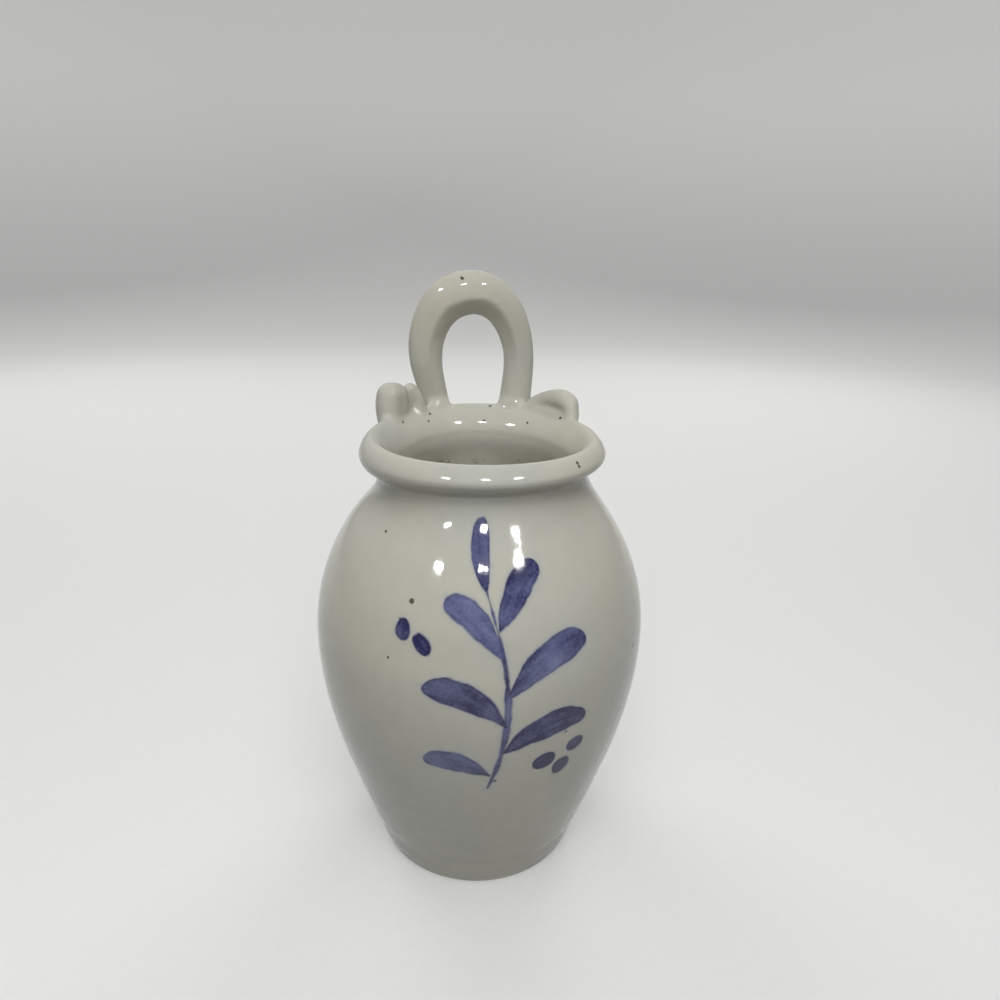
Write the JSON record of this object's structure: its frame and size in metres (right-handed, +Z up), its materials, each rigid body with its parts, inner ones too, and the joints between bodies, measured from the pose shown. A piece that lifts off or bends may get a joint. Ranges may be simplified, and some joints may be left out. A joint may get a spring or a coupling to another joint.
{
  "type": "hanging wall vase",
  "caption": "Glazed stoneware wall vase: round thrown jar with a flat back, narrow neck, rolled rim, and a loop with curled ends at the back of the rim to hang it by.",
  "frame": {"origin": "middle of the foot's underside, on the axis that the jar was thrown about", "axes": "+Z up, +Y towards the wall that the vase hangs on, +X to the right as seen from the front"},
  "size_m": [0.108, 0.0935, 0.1934],
  "materials": {
    "glaze": "glossy off-white glaze with iron specks",
    "bare_clay": "unglazed buff stoneware at the foot"
  },
  "bodies": {
    "root": {"vessel_wall": "glaze", "floor_slab": "bare_clay", "floor_seam_coil": "glaze", "rim_roll": "glaze", "hanger_loop": "glaze", "left_curl": "glaze", "right_curl": "glaze", "left_joint_wad": "glaze", "right_joint_wad": "glaze"}
  },
  "joints": []
}
